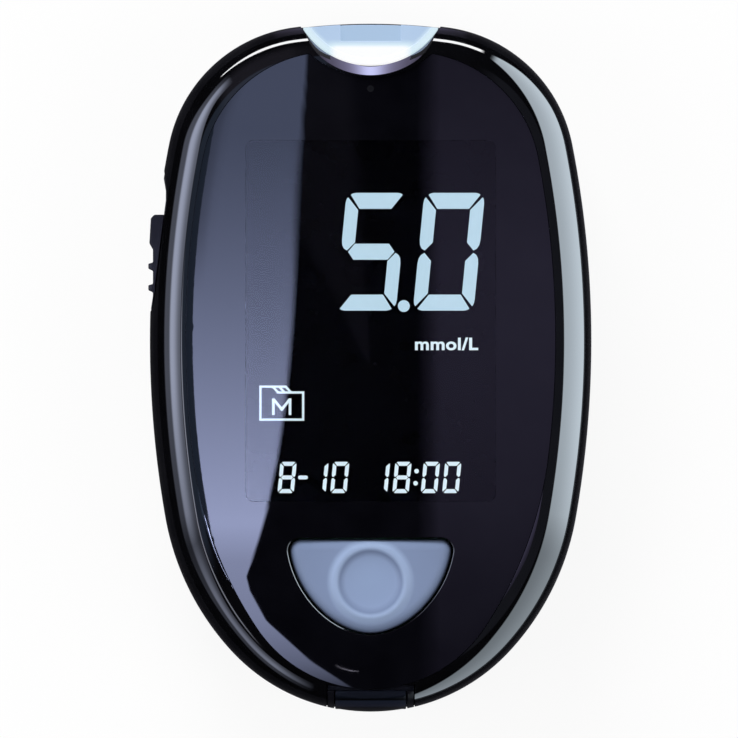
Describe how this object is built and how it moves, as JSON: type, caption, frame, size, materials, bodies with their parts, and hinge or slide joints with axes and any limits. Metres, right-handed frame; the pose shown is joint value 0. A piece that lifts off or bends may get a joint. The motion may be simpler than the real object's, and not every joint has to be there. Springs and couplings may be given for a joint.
{
  "type": "blood glucose meter",
  "caption": "Egg-shaped pocket blood glucose meter with a lit strip port, glossy face panel, half-moon button, side strip ejector, data port cover and battery door.",
  "frame": {"origin": "middle of the flat back that the meter rests on, at the middle of its length and width", "axes": "+X to the right of the display, +Y towards the strip port, +Z out of the display"},
  "size_m": [0.0619, 0.0962, 0.026],
  "materials": {
    "rim_plastic": "glossy black moulded plastic",
    "case_plastic": "fine matte dark grey moulded plastic",
    "panel_plastic": "polished clear plastic, printed black inside round the window",
    "adhesive_film": "translucent adhesive film",
    "foam_rubber": "matte black foam rubber",
    "display_glass": "clear glass with a dark blue liquid crystal layer",
    "diffuser": "matte white film",
    "guide_acrylic": "clear polished acrylic",
    "frame_plastic": "matte white moulded plastic",
    "zebra_rubber": "pink striped silicone rubber",
    "led_body": "yellowish white lamp bodies",
    "circuit_board": "green solder mask",
    "chip_black": "matte black moulding",
    "component_tan": "tan ceramic bodies",
    "button_silver": "satin blue-silver paint on plastic",
    "switch_plastic": "dark grey plastic",
    "plunger_plastic": "cream plastic",
    "key_plastic": "light grey plastic",
    "lens_plastic": "translucent white plastic lit from behind",
    "slider_plastic": "dark blue-grey plastic",
    "arm_plastic": "natural acetal",
    "contact_gold": "gold plated spring bronze",
    "spring_steel": "bright wire and sheet steel",
    "socket_steel": "tin plated steel",
    "bezel_plastic": "glossy dark plastic",
    "cover_plastic": "dark navy tinted plastic",
    "door_plastic": "fine matte dark grey moulded plastic",
    "cell_jacket": "plain slate jacket of a dry cell",
    "screw_steel": "zinc plated steel"
  },
  "bodies": {
    "case": {"rear_case": "case_plastic", "front_case": "rim_plastic", "face_panel": "panel_plastic", "panel_adhesive": "adhesive_film", "display_gasket": "foam_rubber", "lcd_glass": "display_glass", "diffuser_film": "diffuser", "light_guide": "guide_acrylic", "lcd_frame": "frame_plastic", "zebra_strip": "zebra_rubber", "backlight_leds": "led_body", "main_board": "circuit_board", "processor": "chip_black", "measuring_chip": "chip_black", "small_components": "component_tan", "buzzer": "chip_black", "main_switch": "switch_plastic", "set_switch": "switch_plastic", "port_lens": "lens_plastic", "port_leds": "led_body", "strip_connector": "chip_black", "strip_contacts": "contact_gold", "ejector_spring": "spring_steel", "data_socket": "socket_steel", "port_bezel": "bezel_plastic", "cover_pin": "screw_steel", "battery_left": "cell_jacket", "battery_right": "cell_jacket", "battery_springs": "spring_steel", "battery_contacts": "spring_steel", "case_screws": "screw_steel", "board_screws": "screw_steel"},
    "main_button": {"main_button": "button_silver", "main_switch_plunger": "plunger_plastic"},
    "set_button": {"set_button": "key_plastic"},
    "ejector": {"ejector_slider": "slider_plastic", "ejector_arm": "arm_plastic"},
    "port_cover": {"port_cover": "cover_plastic"},
    "battery_door": {"battery_door": "door_plastic"}
  },
  "joints": [
    {"name": "main_button_press", "type": "slide", "parent": "case", "child": "main_button", "axis": [0, 0, -1], "range_m": [0, 0.0004], "stiffness_N_per_m": 2000, "springref_m": -0.0001},
    {"name": "set_button_press", "type": "slide", "parent": "case", "child": "set_button", "axis": [0, 0, 1], "range_m": [0, 0.0002], "stiffness_N_per_m": 2000, "springref_m": -0.0001},
    {"name": "ejector_slide", "type": "slide", "parent": "case", "child": "ejector", "axis": [0, 1, 0], "range_m": [0, 0.005], "stiffness_N_per_m": 150, "springref_m": -0.001, "deforming": ["ejector_spring"]},
    {"name": "port_cover_hinge", "type": "hinge", "parent": "case", "child": "port_cover", "pos_m": [0, -0.0467, 0.0103], "axis": [1, 0, 0], "range_deg": [0, 90]},
    {"name": "battery_door_hinge", "type": "hinge", "parent": "case", "child": "battery_door", "pos_m": [0, -0.03125, 0.0001], "axis": [-1, 0, 0], "range_deg": [0, 90]}
  ]
}
